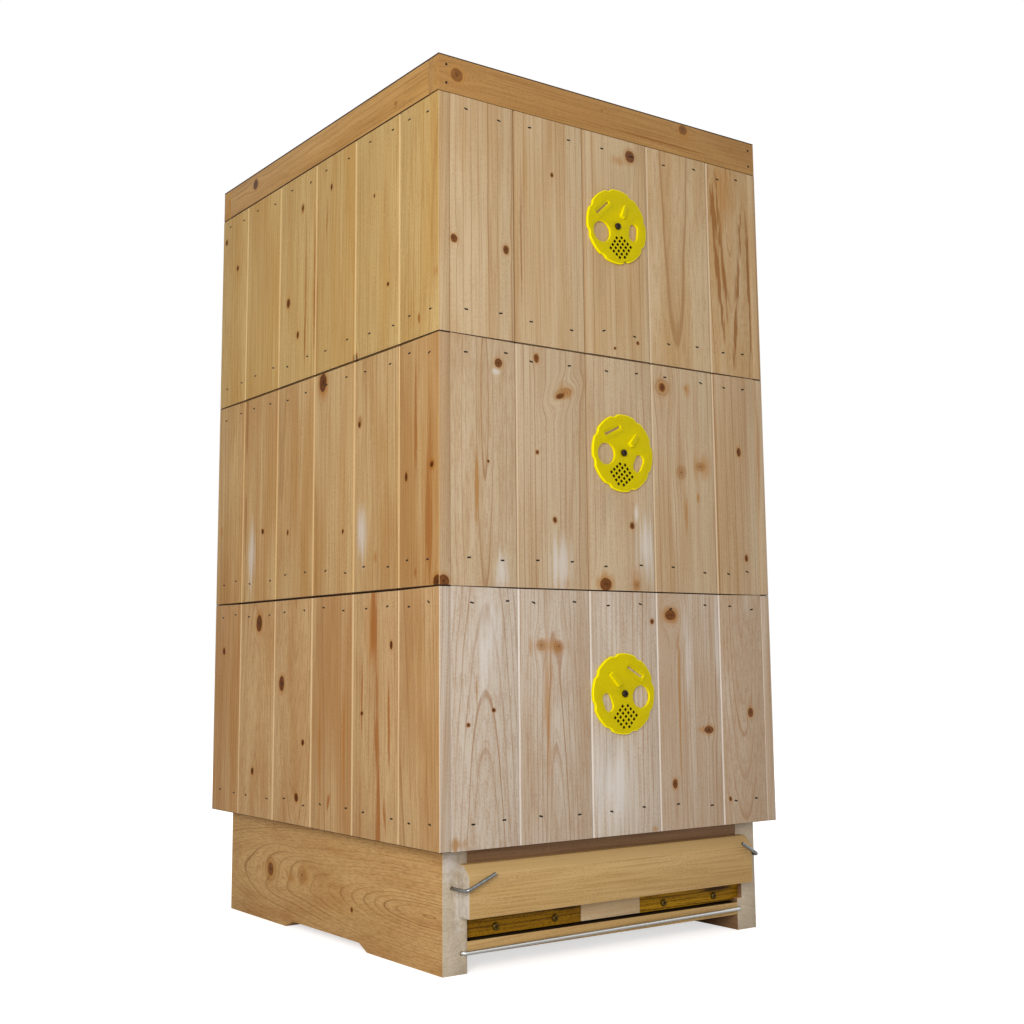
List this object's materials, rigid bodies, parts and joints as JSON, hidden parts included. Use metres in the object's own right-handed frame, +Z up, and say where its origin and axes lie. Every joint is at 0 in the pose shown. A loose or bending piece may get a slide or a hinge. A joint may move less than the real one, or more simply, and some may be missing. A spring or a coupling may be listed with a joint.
{
  "type": "insulated beehive",
  "caption": "Insulated wooden beehive: stacked plank-clad bodies with round entrance discs, a mesh-floor stand with entrance block, hooks and tray, and a flat roof that lifts off.",
  "frame": {"origin": "on the ground, under the middle of the hive bodies' plan", "axes": "+Z up, -Y out of the front with the discs and the entrance, +X to the right seen from the front"},
  "size_m": [0.43, 0.5028, 0.8685],
  "materials": {
    "cladding_pine": "planed, bare",
    "roof_pine": "planed, bare",
    "planed_pine": "planed, bare",
    "softboard": "fibrous",
    "wax": "embossed",
    "yellow_plastic": "moulded",
    "bronzed_steel": "dark",
    "galvanised_steel": "zinc coated",
    "white_sheet": "smooth",
    "coated_sheet": "satin"
  },
  "bodies": {
    "stand": {"stand_left_rail": "planed_pine", "stand_right_rail": "planed_pine", "stand_front_rail": "planed_pine", "stand_rear_rail": "planed_pine", "entrance_sill": "planed_pine", "entrance_bars": "planed_pine", "entrance_bar_screws": "galvanised_steel", "floor_battens": "planed_pine", "floor_mesh": "galvanised_steel", "front_board": "planed_pine", "sill_rod": "galvanised_steel"},
    "entrance_block": {"entrance_block": "planed_pine"},
    "tray": {"tray_sheet": "white_sheet", "tray_lip": "planed_pine"},
    "left_hook": {"left_hook": "galvanised_steel"},
    "right_hook": {"right_hook": "galvanised_steel"},
    "lower_body": {"lower_front_cladding": "cladding_pine", "lower_rear_cladding": "cladding_pine", "lower_left_cladding": "cladding_pine", "lower_right_cladding": "cladding_pine", "lower_lining": "planed_pine", "lower_top_rails": "planed_pine", "lower_bottom_rails": "planed_pine", "lower_frames": "planed_pine", "lower_insulation": "softboard", "lower_foundation": "wax", "lower_disc_screw": "bronzed_steel"},
    "lower_disc": {"lower_disc": "yellow_plastic"},
    "middle_body": {"middle_front_cladding": "cladding_pine", "middle_rear_cladding": "cladding_pine", "middle_left_cladding": "cladding_pine", "middle_right_cladding": "cladding_pine", "middle_lining": "planed_pine", "middle_top_rails": "planed_pine", "middle_bottom_rails": "planed_pine", "middle_frames": "planed_pine", "middle_insulation": "softboard", "middle_foundation": "wax", "middle_disc_screw": "bronzed_steel"},
    "middle_disc": {"middle_disc": "yellow_plastic"},
    "upper_body": {"upper_front_cladding": "cladding_pine", "upper_rear_cladding": "cladding_pine", "upper_left_cladding": "cladding_pine", "upper_right_cladding": "cladding_pine", "upper_lining": "planed_pine", "upper_top_rails": "planed_pine", "upper_bottom_rails": "planed_pine", "upper_frames": "planed_pine", "upper_insulation": "softboard", "upper_foundation": "wax", "upper_disc_screw": "bronzed_steel"},
    "upper_disc": {"upper_disc": "yellow_plastic"},
    "roof": {"roof_front_board": "roof_pine", "roof_rear_board": "roof_pine", "roof_left_board": "roof_pine", "roof_right_board": "roof_pine", "roof_ceiling": "planed_pine", "roof_deck": "planed_pine", "roof_insulation": "softboard", "roof_sheet": "coated_sheet"}
  },
  "joints": [
    {"name": "lower_body_lift", "type": "slide", "parent": "stand", "child": "lower_body", "axis": [0, 0, 1], "range_m": [0, 0.3]},
    {"name": "middle_body_lift", "type": "slide", "parent": "lower_body", "child": "middle_body", "axis": [0, 0, 1], "range_m": [0, 0.3]},
    {"name": "upper_body_lift", "type": "slide", "parent": "middle_body", "child": "upper_body", "axis": [0, 0, 1], "range_m": [0, 0.3]},
    {"name": "roof_lift", "type": "slide", "parent": "upper_body", "child": "roof", "axis": [0, 0, 1], "range_m": [0, 0.3]},
    {"name": "lower_disc_turn", "type": "hinge", "parent": "lower_body", "child": "lower_disc", "pos_m": [0.0025, -0.2493, 0.2495], "axis": [0, -1, 0], "continuous": true},
    {"name": "middle_disc_turn", "type": "hinge", "parent": "middle_body", "child": "middle_disc", "pos_m": [0.0075, -0.2493, 0.4925], "axis": [0, -1, 0], "continuous": true},
    {"name": "upper_disc_turn", "type": "hinge", "parent": "upper_body", "child": "upper_disc", "pos_m": [0.0055, -0.2493, 0.732], "axis": [0, -1, 0], "continuous": true},
    {"name": "left_hook_turn", "type": "hinge", "parent": "stand", "child": "left_hook", "pos_m": [-0.189, -0.228, 0.077], "axis": [0, -1, 0], "range_deg": [-22, 158]},
    {"name": "right_hook_turn", "type": "hinge", "parent": "stand", "child": "right_hook", "pos_m": [0.181, -0.228, 0.0795], "axis": [0, 1, 0], "range_deg": [-30, 150]},
    {"name": "entrance_block_pull", "type": "slide", "parent": "stand", "child": "entrance_block", "axis": [0, -1, 0], "range_m": [0, 0.06]},
    {"name": "tray_pull", "type": "slide", "parent": "stand", "child": "tray", "axis": [0, 1, 0], "range_m": [0, 0.4]}
  ]
}
